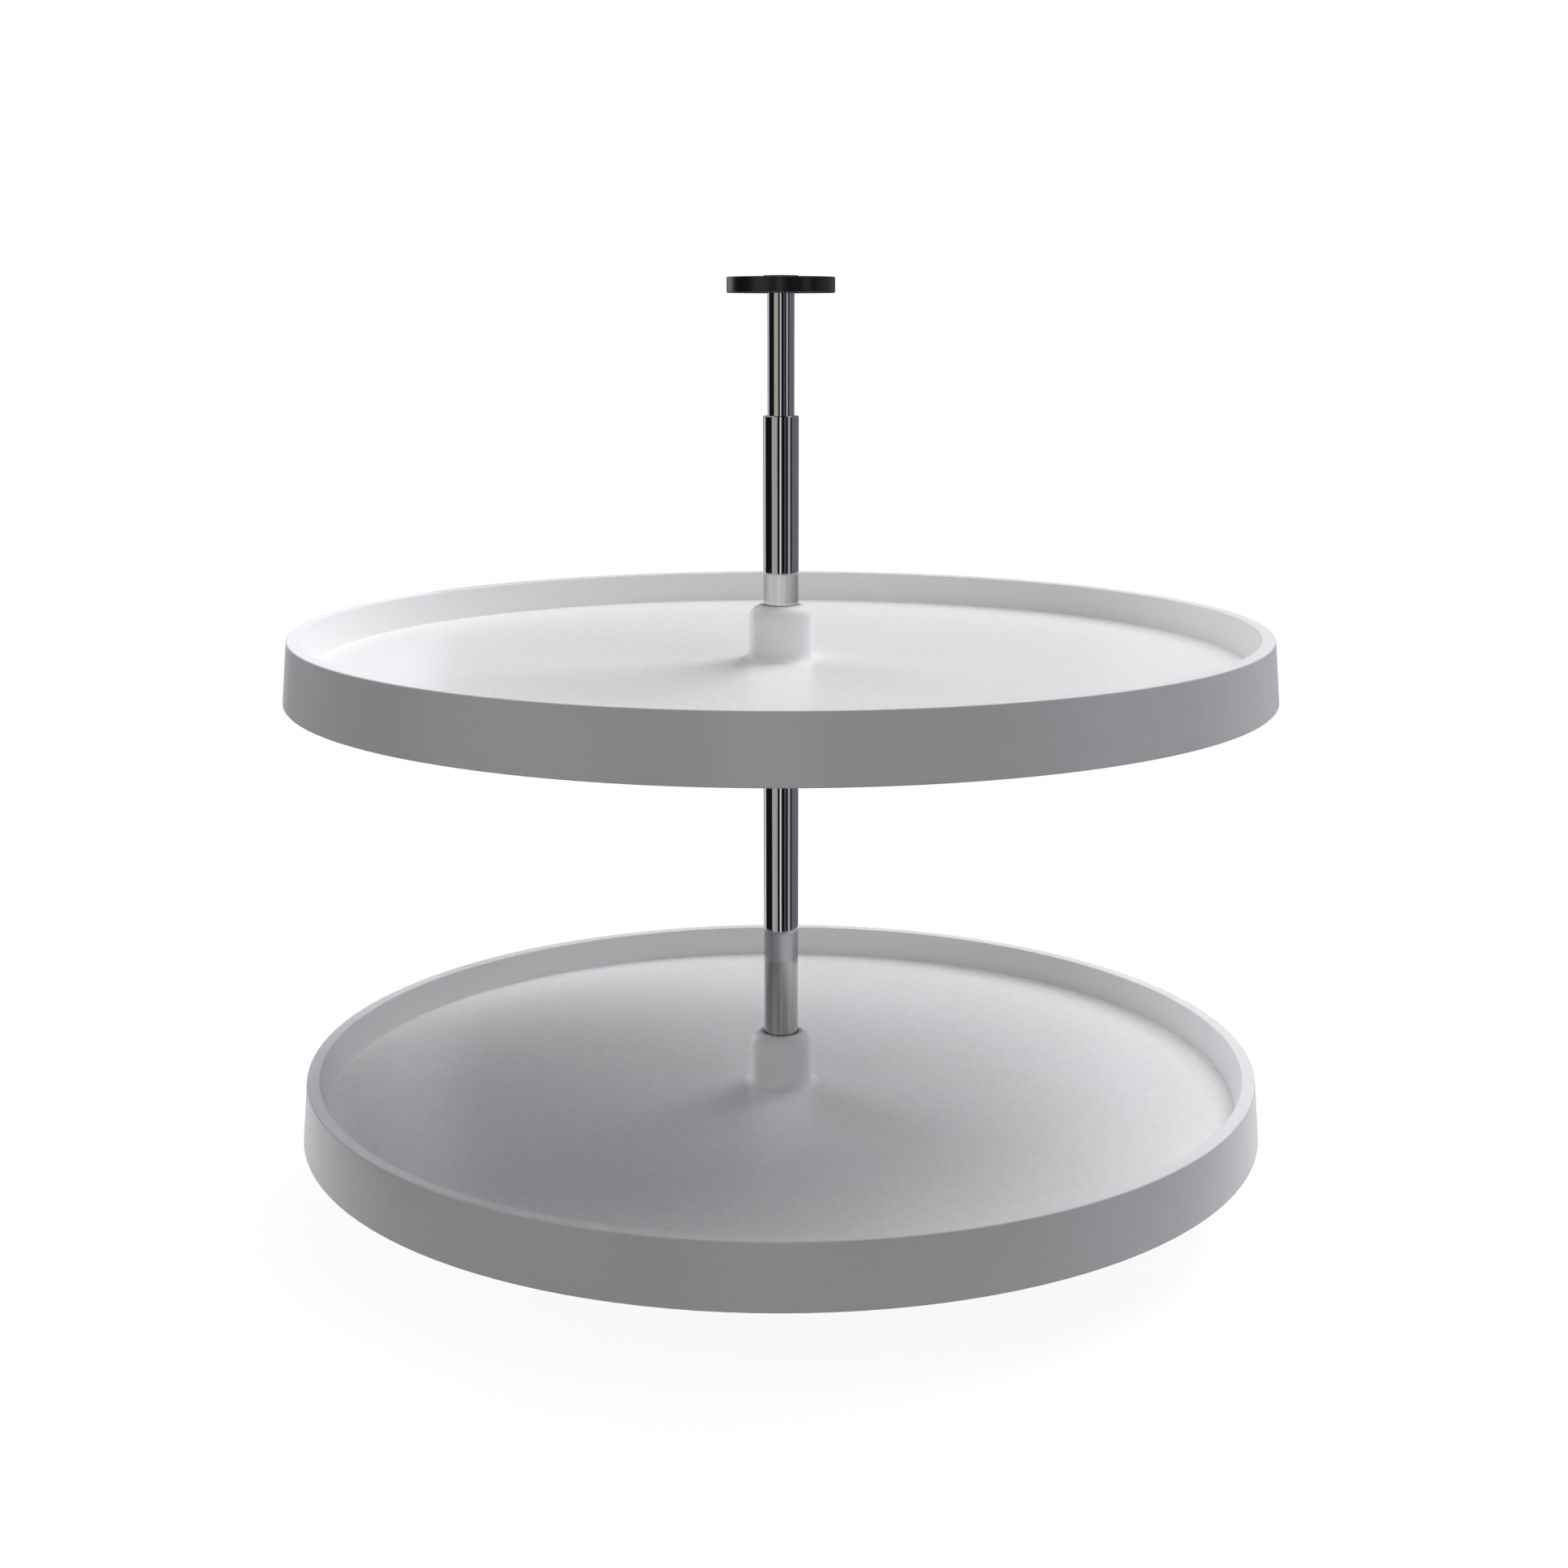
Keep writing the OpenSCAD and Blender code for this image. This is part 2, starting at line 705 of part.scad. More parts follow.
// Cone nut on the stud; its two keys ride in the collet's slots, so it climbs as the tube is twisted
module lock_cone() {
    cone_top_z = cone_foot_z + cone_l;
    key_r = collet_r - free_gap;
    color("darkgrey") difference() {
        union() {
            rotate_extrude() polygon([
                [0, cone_foot_z],
                [taper_r(cone_foot_z) - run_fit, cone_foot_z],
                [taper_r(cone_top_z) - run_fit, cone_top_z],
                [0, cone_top_z]
            ]);
            translate([-key_r, -key_w / 2, cone_foot_z]) cube([2 * key_r, key_w, cone_l * 0.6]);
        }
        at_height(cone_foot_z - past) cylinder(r = stud_r + run_fit, h = cone_l + 2 * past);
    }
}

// ---- Top disc and pivot ----

module top_plug() {
    color([0.14, 0.14, 0.15]) difference() {
        union() {
            at_height(upper_top_z - top_plug_l) cylinder(r = upper_bore_r - press_gap, h = top_plug_l);
            at_height(upper_top_z) cylinder(r = upper_r - press_gap, h = top_plug_flange_t);
        }
        at_height(upper_top_z + top_plug_flange_t - pivot_thread_l - 1)
            cylinder(r = pivot_thread_r + press_gap, h = pivot_thread_l + 1 + past);
    }
}

// Shoulder screw that the disc turns on, held in the plug
module pivot_pin() {
    shoulder_z = upper_top_z + top_plug_flange_t;
    head_z = fitting_h - head_pocket_depth + thrust_gap;
    head_r = pivot_head_d / 2;
    edge = 0.5;
    color("silver") difference() {
        rotate_extrude() polygon([
            [0, shoulder_z - pivot_thread_l],
            [pivot_thread_r - edge, shoulder_z - pivot_thread_l],
            [pivot_thread_r, shoulder_z - pivot_thread_l + edge],
            [pivot_thread_r, shoulder_z],
            [pivot_d / 2, shoulder_z],
            [pivot_d / 2, head_z],
            [head_r, head_z],
            [head_r, head_z + pivot_head_t - edge],
            [head_r - edge, head_z + pivot_head_t],
            [0, head_z + pivot_head_t]
        ]);
        at_height(head_z + pivot_head_t * 0.4) cylinder(r = pivot_d * 0.36, h = pivot_head_t, $fn = 6);
    }
}

module top_disc() {
    disc_r = disc_d / 2;
    color([0.08, 0.08, 0.09]) difference() {
        rotate_extrude() polygon(concat(
            [[upper_r + free_gap, disc_under_z]],
            arc(disc_r - disc_round, disc_under_z + disc_round, disc_round, -90, 0),
            arc(disc_r - disc_round, fitting_h - disc_round, disc_round, 0, 90),
            [
                [head_pocket_r, fitting_h],
                [head_pocket_r, fitting_h - head_pocket_depth],
                [pivot_d / 2 + run_fit, fitting_h - head_pocket_depth],
                [pivot_d / 2 + run_fit, disc_socket_z],
                [upper_r + free_gap, disc_socket_z]
            ]
        ));
        round_pattern(4, 45) translate([disc_screw_pcd / 2, 0, fitting_h]) mirror([0, 0, 1])
            screw_hole(disc_t);
    }
}

// Low cap that closes the pocket over the pivot pin's head
module pivot_cap() {
    spigot_r = head_pocket_r - press_gap;
    spigot_wall = 0.7;
    color([0.09, 0.09, 0.1]) rotate_extrude() polygon([
        [0, fitting_h],
        [spigot_r - spigot_wall, fitting_h],
        [spigot_r - spigot_wall, fitting_h - head_pocket_depth * 0.6],
        [spigot_r, fitting_h - head_pocket_depth * 0.6],
        [spigot_r, fitting_h],
        [cap_d / 2, fitting_h],
        [cap_d / 2 - cap_h, fitting_h + cap_h],
        [0, fitting_h + cap_h]
    ]);
}

// ---- The two shelves ----

module lower_collar() { at_height(lower_floor_z) collar(); }
module lower_collar_screws() { at_height(lower_floor_z) collar_screws(); }
module lower_collar_race() { at_height(lower_floor_z) collar_race(); }
module lower_ball_cage() { at_height(lower_floor_z) ball_cage(); }
module lower_bearing_balls() { at_height(lower_floor_z) bearing_balls(); }
module lower_tray_race() { at_height(lower_floor_z) tray_race(); }
module lower_race_screws() { at_height(lower_floor_z) race_screws(); }
module lower_tray_sleeve() { at_height(lower_floor_z) tray_sleeve(); }
module lower_tray() { at_height(lower_floor_z) tray(); }

module upper_collar() { at_height(upper_floor_z) collar(); }
module upper_collar_screws() { at_height(upper_floor_z) collar_screws(); }
module upper_collar_race() { at_height(upper_floor_z) collar_race(); }
module upper_ball_cage() { at_height(upper_floor_z) ball_cage(); }
module upper_bearing_balls() { at_height(upper_floor_z) bearing_balls(); }
module upper_tray_race() { at_height(upper_floor_z) tray_race(); }
module upper_race_screws() { at_height(upper_floor_z) race_screws(); }
module upper_tray_sleeve() { at_height(upper_floor_z) tray_sleeve(); }
module upper_tray() { at_height(upper_floor_z) tray(); }

base_flange();
base_screw();
main_tube();
guide_bush();
lower_collar();
lower_collar_screws();
lower_collar_race();
lower_ball_cage();
lower_bearing_balls();
lower_tray_race();
lower_race_screws();
lower_tray_sleeve();
lower_tray();
upper_collar();
upper_collar_screws();
upper_collar_race();
upper_ball_cage();
upper_bearing_balls();
upper_tray_race();
upper_race_screws();
upper_tray_sleeve();
upper_tray();
lock_collet();
lock_cone();
lock_stud();
stop_nut();
lock_plug();
upper_tube();
top_plug();
pivot_pin();
top_disc();
pivot_cap();
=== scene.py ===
"""Studio scene of a rotating pantry fitting: two round trays on a telescoping chromed shaft.

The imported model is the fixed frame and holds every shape, so this script adds no piece of its own.
It gives each piece its finish, and sets up the camera, the floor, the lamps and the reflector
cards. Lengths are in metres, in the model's own frame, with +Z up and the camera on the -Y side.
"""
import logging
import math
from abc import ABC, abstractmethod
from dataclasses import dataclass, field
from enum import Enum
from typing import Any, Optional, Sequence, Union

import bpy
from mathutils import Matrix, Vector

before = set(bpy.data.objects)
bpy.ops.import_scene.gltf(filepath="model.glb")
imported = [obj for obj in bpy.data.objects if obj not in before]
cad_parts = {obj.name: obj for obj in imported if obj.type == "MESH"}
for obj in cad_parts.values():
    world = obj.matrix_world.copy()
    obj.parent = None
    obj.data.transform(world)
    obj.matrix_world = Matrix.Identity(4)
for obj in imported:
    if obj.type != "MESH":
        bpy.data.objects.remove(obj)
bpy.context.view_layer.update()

Colour = tuple[float, float, float]
Point = tuple[float, float, float]
Operand = Union["Wire", float]

WHITE: Colour = (1.0, 1.0, 1.0)
BLACK: Colour = (0.0, 0.0, 0.0)
NOISE_RANGE = (0.3, 0.7)  # nearly all of a fractal noise lies between these values
CLOUD_RANGE = (0.35, 0.65)  # a closer range, for patches with clearer edges

log = logging.getLogger("pantry_fitting")


# ---- Shader maths ----


class Wire:
    """A shader socket whose Python operators add the nodes that they stand for."""

    def __init__(self, board: "Board", socket: bpy.types.NodeSocket) -> None:
        """Wraps a socket.

        Args:
            board: The node tree that the socket belongs to.
            socket: An output socket.
        """
        self.board = board
        self.socket = socket

    def __add__(self, other: Operand) -> "Wire":
        """self + other."""
        return self.board.maths("ADD", self, other)

    def __radd__(self, other: Operand) -> "Wire":
        """other + self."""
        return self.board.maths("ADD", other, self)

    def __sub__(self, other: Operand) -> "Wire":
        """self - other."""
        return self.board.maths("SUBTRACT", self, other)

    def __rsub__(self, other: Operand) -> "Wire":
        """other - self."""
        return self.board.maths("SUBTRACT", other, self)

    def __mul__(self, other: Operand) -> "Wire":
        """self * other."""
        return self.board.maths("MULTIPLY", self, other)

    def __rmul__(self, other: Operand) -> "Wire":
        """other * self."""
        return self.board.maths("MULTIPLY", other, self)

    def ramp(self, low: float, high: float, to_low: float = 0.0, to_high: float = 1.0) -> "Wire":
        """Maps low..high onto to_low..to_high with a smooth step, and holds it outside.

        Args:
            low: The value that gives to_low.
            high: The value that gives to_high.
            to_low: The result at low.
            to_high: The result at high.

        Returns:
            The mapped value.
        """
        return self.board.add(
            "ShaderNodeMapRange",
            {"interpolation_type": "SMOOTHSTEP", "clamp": True},
            {0: self, 1: low, 2: high, 3: to_low, 4: to_high},
        )


class Board:
    """The node tree of one material or of the world."""

    def __init__(self, tree: bpy.types.NodeTree) -> None:
        """Empties a tree to build on.

        Args:
            tree: The node tree.
        """
        self.tree = tree
        tree.nodes.clear()

    def add(
        self,
        kind: str,
        settings: Optional[dict[str, Any]] = None,
        inputs: Optional[dict[Union[str, int], Any]] = None,
        out: Union[str, int] = 0,
    ) -> Wire:
        """Adds a node. Its settings are set first, then its sockets are filled or linked.

        Args:
            kind: The node's type, such as "ShaderNodeTexNoise".
            settings: Properties of the node, such as a Math node's operation.
            inputs: Values, or wires, by the socket's name or number.
            out: The output that is returned.

        Returns:
            The chosen output, or for an output node its first input.
        """
        node = self.tree.nodes.new(kind)
        for name, value in (settings or {}).items():
            setattr(node, name, value)
        for key, value in (inputs or {}).items():
            if isinstance(value, Wire):
                self.tree.links.new(value.socket, node.inputs[key])
            else:
                node.inputs[key].default_value = value
        return Wire(self, node.outputs[out] if node.outputs else node.inputs[0])

    def maths(self, operation: str, *values: Operand) -> Wire:
        """Adds a Math node for an operation on one to three values."""
        return self.add("ShaderNodeMath", {"operation": operation}, dict(enumerate(values)))

    def place(self) -> Wire:
        """The surface point in the frame's coordinates, in metres."""
        return self.add("ShaderNodeTexCoord", out="Object")

    def stretched(self, x: float, y: float, z: float) -> Wire:
        """The surface point with each coordinate multiplied by its own factor.

        Args:
            x: The factor along X.
            y: The factor along Y.
            z: The factor along Z.

        Returns:
            The point as a vector.
        """
        return self.add(
            "ShaderNodeVectorMath", {"operation": "MULTIPLY"}, {0: self.place(), 1: (x, y, z)}
        )

    def length(self, vector: Wire) -> Wire:
        """The length of a vector."""
        return self.add("ShaderNodeVectorMath", {"operation": "LENGTH"}, {0: vector}, out="Value")

    def height_of(self, vector: Wire) -> Wire:
        """The Z of a vector."""
        return self.add("ShaderNodeSeparateXYZ", inputs={0: vector}, out="Z")

    def noise(self, cells: Union[float, Point], detail: float, roughness: float) -> Wire:
        """Fractal noise from 0 to 1 over the surface.

        Args:
            cells: The cells in a metre, the same every way or along X, Y and Z.
            detail: How many finer layers are added.
            roughness: How strong each finer layer is.

        Returns:
            The noise.
        """
        along = cells if isinstance(cells, tuple) else (cells, cells, cells)
        return self.add(
            "ShaderNodeTexNoise",
            inputs={
                "Vector": self.stretched(*along),
                "Scale": 1.0,
                "Detail": detail,
                "Roughness": roughness,
            },
            out="Fac",
        )

    def blend(self, share: Wire, first: Colour, second: Colour) -> Wire:
        """Mixes two colours.

        Args:
            share: The second colour's share, from 0 to 1.
            first: The colour at 0.
            second: The colour at 1.

        Returns:
            The mixed colour.
        """
        return self.add(
            "ShaderNodeMix",
            {"data_type": "RGBA"},
            {0: share, 6: opaque(first), 7: opaque(second)},
            out=2,
        )

    def bump(self, height: Wire, depth: float, strength: float) -> Wire:
        """A normal that is tilted by a height.

        Args:
            height: The height, from 0 to 1.
            depth: What a height of 1 stands for, in metres.
            strength: How much of the tilt is kept.

        Returns:
            The normal.
        """
        return self.add(
            "ShaderNodeBump", inputs={"Strength": strength, "Distance": depth, "Height": height}
        )

    def glow(self, colour: Colour, strength: float = 1.0) -> Wire:
        """A shader that gives off light."""
        return self.add(
            "ShaderNodeEmission", inputs={"Color": opaque(colour), "Strength": strength}
        )

    def mix(self, share: Wire, first: Wire, second: Wire) -> Wire:
        """Mixes two shaders by the second one's share."""
        return self.add("ShaderNodeMixShader", inputs={0: share, 1: first, 2: second})

    def ray(self, kind: str) -> Wire:
        """1 for rays of a kind, such as "Camera", and 0 for all others."""
        return self.add("ShaderNodeLightPath", out=f"Is {kind} Ray")

    def shown_ray(self) -> Wire:
        """1 for rays from the camera, a mirror or glass, and 0 for those that carry light."""
        mirrored = self.maths("MAXIMUM", self.ray("Glossy"), self.ray("Transmission"))
        return self.maths("MAXIMUM", self.ray("Camera"), mirrored)


def opaque(colour: Colour) -> tuple[float, float, float, float]:
    """A colour with full alpha."""
    return (*colour, 1.0)


def lit(colour: Colour, factor: float) -> Colour:
    """A colour multiplied by a factor."""
    return tuple(channel * factor for channel in colour)


def new_material(name: str) -> tuple[bpy.types.Material, Board]:
    """Makes an empty material.

    Args:
        name: The material's name.

    Returns:
        The material and the board of its nodes.
    """
    material = bpy.data.materials.new(name)
    material.use_nodes = True
    return material, Board(material.node_tree)


# ---- Finishes ----


class Finish(ABC):
    """A surface finish. Its material is made once, when it is first asked for."""

    _made: dict["Finish", bpy.types.Material] = {}
    name: str

    @abstractmethod
    def surface(self, board: Board) -> dict[str, Any]:
        """Builds the nodes of the finish.

        Args:
            board: The board of the material.

        Returns:
            The Principled shader's inputs, as values or wires, by socket name.
        """

    def material(self) -> bpy.types.Material:
        """Makes the material, or finds the one that was made before.

        Returns:
            The material.
        """
        if self not in Finish._made:
            material, board = new_material(self.name)
            shader = board.add("ShaderNodeBsdfPrincipled", inputs=self.surface(board))
            board.add("ShaderNodeOutputMaterial", inputs={"Surface": shader})
            Finish._made[self] = material
        return Finish._made[self]


@dataclass(frozen=True)
class Moulding(Finish):
    """Injection-moulded plastic: fine grain, a soft sheen, and mottled level faces.

    Upright faces slide out of the mould and stay smooth, so the mottle fades with the slope.

    Attributes:
        mottle: How much darker the mottle's spots are, as a share.
        mottle_size: The width of a spot.
        grain_size: The width of a grain.
        grain_depth: The depth of the grain.
        specular: The strength of the sheen.
        level_range: The normal's Z at which the mottle starts to show, and shows in full.
        upright_share: How much of the mottle an upright face shows.
        spot_gloss: How far the roughness drifts from spot to spot.
        grain_gloss: How far it drifts with the grain.
        grain_tilt: How much of the grain's tilt is kept.
    """

    name: str
    colour: Colour
    roughness: float
    mottle: float = 0.05
    mottle_size: float = 0.005
    grain_size: float = 0.0007
    grain_depth: float = 0.00001
    specular: float = 0.4
    level_range: tuple[float, float] = (0.4, 0.95)
    upright_share: float = 0.2
    spot_gloss: float = 0.08
    grain_gloss: float = 0.04
    grain_tilt: float = 0.5

    def surface(self, board: Board) -> dict[str, Any]:
        """Mottle changes the colour and the gloss a little, and the grain is a bump.

        Args:
            board: The board of the material.

        Returns:
            The Principled shader's inputs.
        """
        spots = board.noise(1.0 / self.mottle_size, 3.0, 0.55)
        grain = board.noise(1.0 / self.grain_size, 2.0, 0.6)
        normal = board.add("ShaderNodeNewGeometry", out="True Normal")
        level = board.height_of(normal).ramp(*self.level_range, self.upright_share, 1.0)
        spotted = lit(self.colour, 1.0 - self.mottle)
        drift = (spots - 0.5) * self.spot_gloss + (grain - 0.5) * self.grain_gloss
        return {
            "Base Color": board.blend(spots.ramp(*NOISE_RANGE) * level, self.colour, spotted),
            "Roughness": drift + self.roughness,
            "Specular IOR Level": self.specular,
            "Normal": board.bump(grain, self.grain_depth, self.grain_tilt),
        }


@dataclass(frozen=True)
class GlossMoulding(Finish):
    """Polished black moulding, with a trace of orange peel and fine dust-dull patches.

    Attributes:
        peel_size: The width of the orange peel's dimples.
        peel_depth: Their depth.
        peel_tilt: How much of their tilt is kept.
        patches: The dull patches in a metre.
        specular: The strength of the gloss.
    """

    name: str
    colour: Colour
    roughness: float
    peel_size: float = 0.004
    peel_depth: float = 0.000004
    peel_tilt: float = 0.12
    patches: float = 60.0
    specular: float = 0.4

    def surface(self, board: Board) -> dict[str, Any]:
        """Orange peel is a bump, and soft patches vary the gloss.

        Args:
            board: The board of the material.

        Returns:
            The Principled shader's inputs.
        """
        peel = board.noise(1.0 / self.peel_size, 1.0, 0.4)
        dust = board.noise(self.patches, 4.0, 0.6)
        clean, dull = self.roughness * 0.85, self.roughness * 1.2
        return {
            "Base Color": board.blend(dust, lit(self.colour, 0.8), lit(self.colour, 1.25)),
            "Roughness": dust.ramp(0.35, 0.75, clean, dull),
            "Specular IOR Level": self.specular,
            "Normal": board.bump(peel, self.peel_depth, self.peel_tilt),
        }


@dataclass(frozen=True)
class ChromePlate(Finish):
    """Bright chrome on drawn tube: mirror gloss, with faint lengthwise draw lines.

    Attributes:
        line_size: The width of a draw line.
        line_length: The length of a draw line.
        line_depth: The depth of a draw line.
        line_shade: The shade of the darkest line, as a share of the colour.
        line_tilt: How much of the lines' tilt is kept.
        wipes: The wiped streaks in a metre, along X, Y and Z.
        haze: How much roughness the lines and the streaks each add at most.
    """

    name: str
    colour: Colour
    roughness: float
    line_size: float = 0.0008
    line_length: float = 0.3
    line_depth: float = 0.0000005
    line_shade: float = 0.84
    line_tilt: float = 0.35
    wipes: Point = (90.0, 90.0, 25.0)
    haze: float = 0.015

    def surface(self, board: Board) -> dict[str, Any]:
        """Lines along the tube vary the shade and the gloss, and tilt the normal by a hair.

        Args:
            board: The board of the material.

        Returns:
            The Principled shader's inputs.
        """
        across = 1.0 / self.line_size
        lines = board.noise((across, across, 1.0 / self.line_length), 3.0, 0.6)
        wiped = board.noise(self.wipes, 3.0, 0.6)
        darkest = lit(self.colour, self.line_shade)
        return {
            "Base Color": board.blend(lines.ramp(*NOISE_RANGE), darkest, self.colour),
            "Metallic": 1.0,
            "Roughness": (lines + wiped) * self.haze + self.roughness,
            "Normal": board.bump(lines, self.line_depth, self.line_tilt),
        }


@dataclass(frozen=True)
class TurnedMetal(Finish):
    """Metal that was turned on a lathe: fine rings, with a little stain between them.

    Attributes:
        ring_pitch: The distance from ring to ring.
        ring_depth: The depth of a ring.
        ring_tilt: How much of the rings' tilt is kept.
        stains: The stained spots in a metre.
    """

    name: str
    colour: Colour
    roughness: float
    ring_pitch: float = 0.0003
    ring_depth: float = 0.000006
    ring_tilt: float = 0.5
    stains: float = 400.0

    def surface(self, board: Board) -> dict[str, Any]:
        """Rings follow the height and the distance from the shaft's axis.

        Args:
            board: The board of the material.

        Returns:
            The Principled shader's inputs.
        """
        path = board.length(board.stretched(1.0, 1.0, 0.0)) + board.height_of(board.place())
        rings = board.maths("SINE", path * (2.0 * math.pi / self.ring_pitch)) * 0.5 + 0.5
        stain = board.noise(self.stains, 4.0, 0.6)
        bright, dull = self.roughness * 0.8, self.roughness * 1.3
        return {
            "Base Color": board.blend(stain, lit(self.colour, 0.84), lit(self.colour, 1.06)),
            "Metallic": 1.0,
            "Roughness": stain.ramp(*NOISE_RANGE, bright, dull),
            "Normal": board.bump(rings, self.ring_depth, self.ring_tilt),
        }


@dataclass(frozen=True)
class PlatedSteel(Finish):
    """Pressed steel with a thin plating: slightly cloudy, with fine rolling grain.

    Attributes:
        tint: What the plating's colour is multiplied by in its clouds.
        grain: The streaks of rolling grain in a metre, along X, Y and Z.
        grain_depth: The depth of the grain.
        grain_tilt: How much of the grain's tilt is kept.
        grain_gloss: How much roughness the grain adds at most.
        clouds: The clouds in a metre.
        cloud_gloss: How much roughness a cloud adds at most.
        polish: How far the smoothest spot is below the stated roughness.
    """

    name: str
    colour: Colour
    roughness: float
    tint: Colour = (0.96, 1.0, 1.05)
    grain: Point = (250.0, 4000.0, 4000.0)
    grain_depth: float = 0.000006
    grain_tilt: float = 0.5
    grain_gloss: float = 0.12
    clouds: float = 110.0
    cloud_gloss: float = 0.1
    polish: float = 0.1

    def surface(self, board: Board) -> dict[str, Any]:
        """Rolling grain runs along X, and the plating's tint drifts in clouds.

        Args:
            board: The board of the material.

        Returns:
            The Principled shader's inputs.
        """
        grain = board.noise(self.grain, 3.0, 0.6)
        cloud = board.noise(self.clouds, 4.0, 0.6)
        tinted = tuple(c * t for c, t in zip(self.colour, self.tint))
        drift = grain * self.grain_gloss + cloud * self.cloud_gloss
        return {
            "Base Color": board.blend(cloud.ramp(*CLOUD_RANGE), self.colour, tinted),
            "Metallic": 1.0,
            "Roughness": drift + (self.roughness - self.polish),
            "Normal": board.bump(grain, self.grain_depth, self.grain_tilt),
        }


@dataclass(frozen=True)
class CastMetal(Finish):
    """Tumbled die casting: soft pits all over and rubbed high spots.

    Attributes:
        pits: The pits in a metre.
        pit_depth: The depth of a pit.
        pit_tilt: How much of the pits' tilt is kept.
        pit_gloss: How far the roughness drifts from pit to pit.
        rubs: The rubbed patches in a metre.
        rub_gloss: How far the roughness drifts from patch to patch.
    """

    name: str
    colour: Colour
    roughness: float
    pits: float = 1400.0
    pit_depth: float = 0.00003
    pit_tilt: float = 0.6
    pit_gloss: float = 0.12
    rubs: float = 160.0
    rub_gloss: float = 0.16

    def surface(self, board: Board) -> dict[str, Any]:
        """Pits are cells of one size, and rubbed patches are cells of a larger size.

        Args:
            board: The board of the material.

        Returns:
            The Principled shader's inputs.
        """
        pits = board.noise(self.pits, 3.0, 0.55)
        rubbed = board.noise(self.rubs, 4.0, 0.6)
        drift = (rubbed - 0.5) * self.rub_gloss + (pits - 0.5) * self.pit_gloss
        dark = lit(self.colour, 0.86)
        return {
            "Base Color": board.blend(rubbed.ramp(*NOISE_RANGE), dark, self.colour),
            "Metallic": 1.0,
            "Roughness": drift + self.roughness,
            "Normal": board.bump(pits, self.pit_depth, self.pit_tilt),
        }


class Slot(Enum):
    """The record's material slots, with the finish that each stands for."""

    white_polymer = Moulding("white_polymer", (0.90, 0.90, 0.90), 0.34)
    natural_nylon = Moulding("natural_nylon", (0.74, 0.735, 0.715), 0.42)
    black_nylon = Moulding(
        "black_nylon", (0.018, 0.018, 0.020), 0.46, mottle=0.2, grain_depth=0.00004
    )
    black_gloss = GlossMoulding("black_gloss", (0.0075, 0.0075, 0.008), 0.30)
    chrome_tube = ChromePlate("chrome_tube", (0.46, 0.462, 0.465), 0.012)
    turned_steel = TurnedMetal("turned_steel", (0.52, 0.52, 0.53), 0.3)
    bearing_steel = PlatedSteel("bearing_steel", (0.62, 0.63, 0.65), 0.16)
    zinc_plate = PlatedSteel("zinc_plate", (0.58, 0.59, 0.58), 0.36)
    die_cast_zinc = CastMetal("die_cast_zinc", (0.46, 0.47, 0.48), 0.42)
    black_steel = PlatedSteel("black_steel", (0.045, 0.045, 0.05), 0.4)


# ---- Stage ----


def direction(azimuth: float, elevation: float = 0.0) -> Vector:
    """The unit vector at an azimuth round the shaft, both in degrees.

    Args:
        azimuth: 0 is towards the camera, and positive goes to the camera's right.
        elevation: The angle above the floor.

    Returns:
        The direction in the frame.
    """
    turn, rise = math.radians(azimuth), math.radians(elevation)
    flat = math.cos(rise)
    return Vector((math.sin(turn) * flat, -math.cos(turn) * flat, math.sin(rise)))


def stage_piece(
    name: str,
    points: Sequence[Point],
    faces: Sequence[tuple[int, ...]],
    material: bpy.types.Material,
) -> bpy.types.Object:
    """Makes a mesh that is part of the stage and not of the fitting.

    Args:
        name: The name of the object and its mesh.
        points: The mesh's corners.
        faces: The corners of each face, by number.
        material: What the mesh is made of.

    Returns:
        The object.
    """
    mesh = bpy.data.meshes.new(name)
    mesh.from_pydata(points, [], faces)
    mesh.materials.append(material)
    piece = bpy.data.objects.new(name, mesh)
    bpy.context.scene.collection.objects.link(piece)
    return piece


@dataclass(frozen=True)
class StudioCamera:
    """The camera, fitted to the photograph's ellipses.

    Attributes:
        place: Where the camera stands.
        pitch_down: How far it looks down, in degrees.
        focal_px: The focal length in the photograph's pixels.
        frame_px: The photograph's width in pixels.
        sensor_mm: The sensor's width in millimetres.
        far: How far the camera sees.
    """

    place: Point = (0.00219, -1.5759, 0.6445)
    pitch_down: float = 12.034
    focal_px: float = 2691.0
    frame_px: float = 1932.0
    sensor_mm: float = 36.0
    far: float = 100.0

    def build(self) -> None:
        """Makes the camera and sets it as the scene's own."""
        data = bpy.data.cameras.new("studio_camera")
        data.sensor_width = self.sensor_mm
        data.lens = self.focal_px / self.frame_px * self.sensor_mm
        data.clip_end = self.far
        camera = bpy.data.objects.new("studio_camera", data)
        camera.location = self.place
        camera.rotation_euler = (math.radians(90.0 - self.pitch_down), 0.0, 0.0)
        bpy.context.scene.collection.objects.link(camera)
        bpy.context.scene.camera = camera


@dataclass(frozen=True)
class Panel:
    """One upright card of the ring that the chrome mirrors.

    Attributes:
        name: The card's name.
        start: The azimuth of its first edge, in degrees.
        end: The azimuth of its last edge, in degrees.
        glow: The light that it gives off.
    """

    name: str
    start: float
    end: float
    glow: Colour


